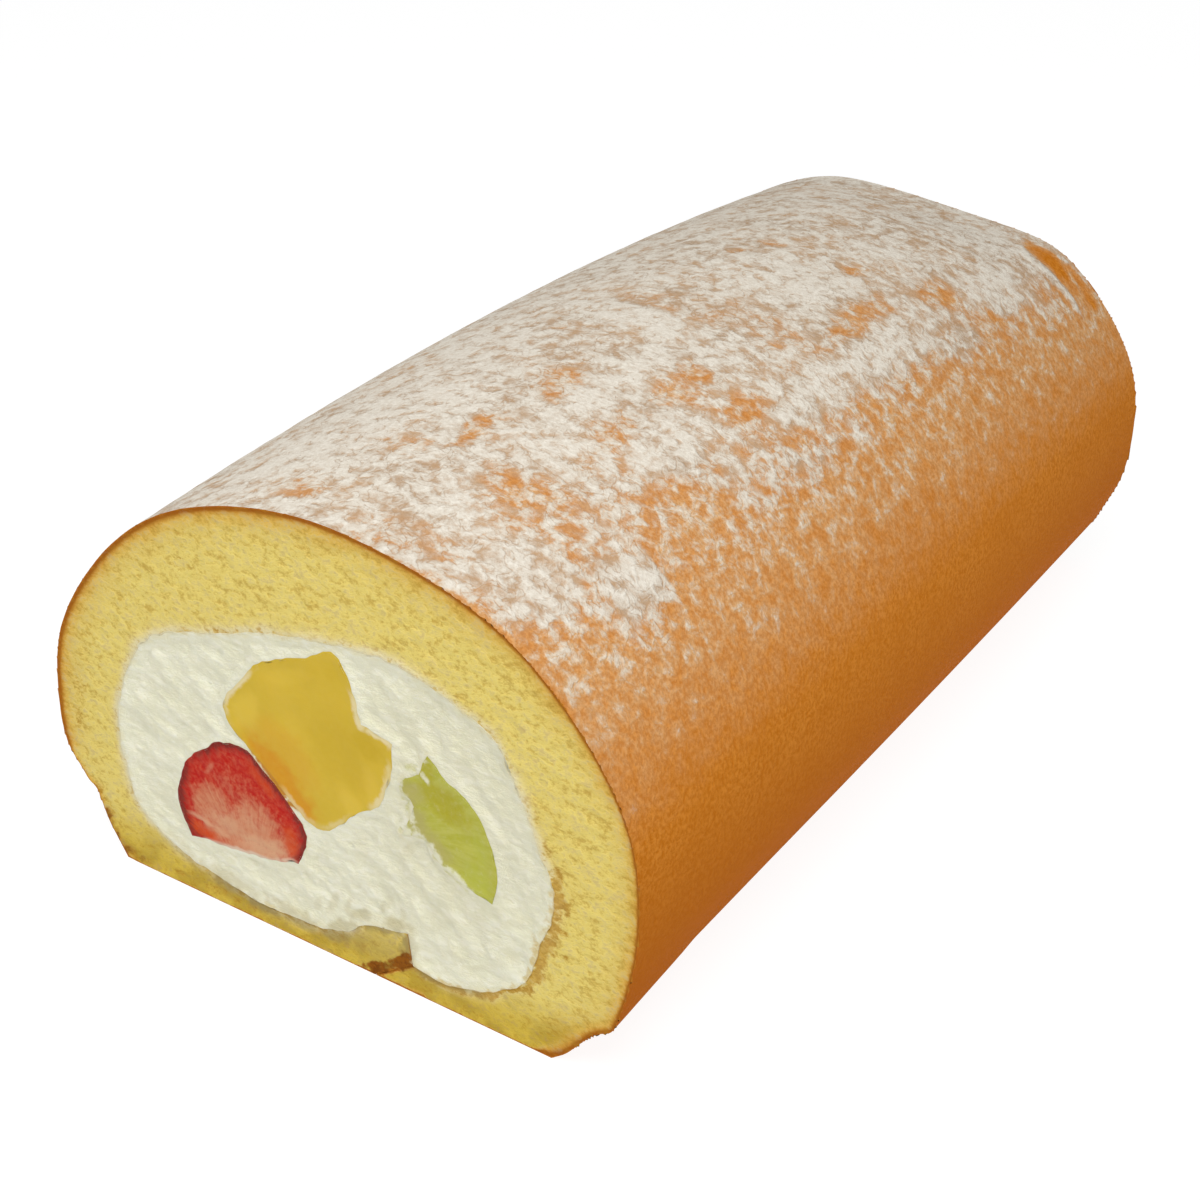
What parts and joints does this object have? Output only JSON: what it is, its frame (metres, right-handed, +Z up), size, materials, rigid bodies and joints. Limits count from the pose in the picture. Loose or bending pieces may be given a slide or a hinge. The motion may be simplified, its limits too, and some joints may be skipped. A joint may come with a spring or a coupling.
{
  "type": "roll cake",
  "caption": "Fruit roll cake: a sponge sheet with a browned, sugar-dusted skin, rolled round whipped cream with strawberry, mango and kiwi.",
  "frame": {"origin": "middle of the footprint, on the surface that the cake stands on", "axes": "+Y along the roll, from the front cut face to the back one; +Z up; +X towards the side that the sheet's lower end comes from"},
  "size_m": [0.1034, 0.164, 0.072],
  "materials": {
    "sponge": "open fine crumb, pale yellow, more golden towards the base",
    "skin": "baked skin, golden brown, fine grained and dry",
    "sugar": "powdered sugar, dusted on in drifts, matte white",
    "cream": "whipped cream dragged by the knife, soft sheen",
    "strawberry": "wet cut strawberry, red rim and paler core",
    "mango": "smooth wet fruit flesh, golden yellow",
    "kiwi": "wet translucent fruit flesh, yellow green"
  },
  "bodies": {
    "root": {"sponge": "sponge", "cream": "cream", "strawberry": "strawberry", "mango": "mango", "kiwi": "kiwi"}
  },
  "joints": []
}
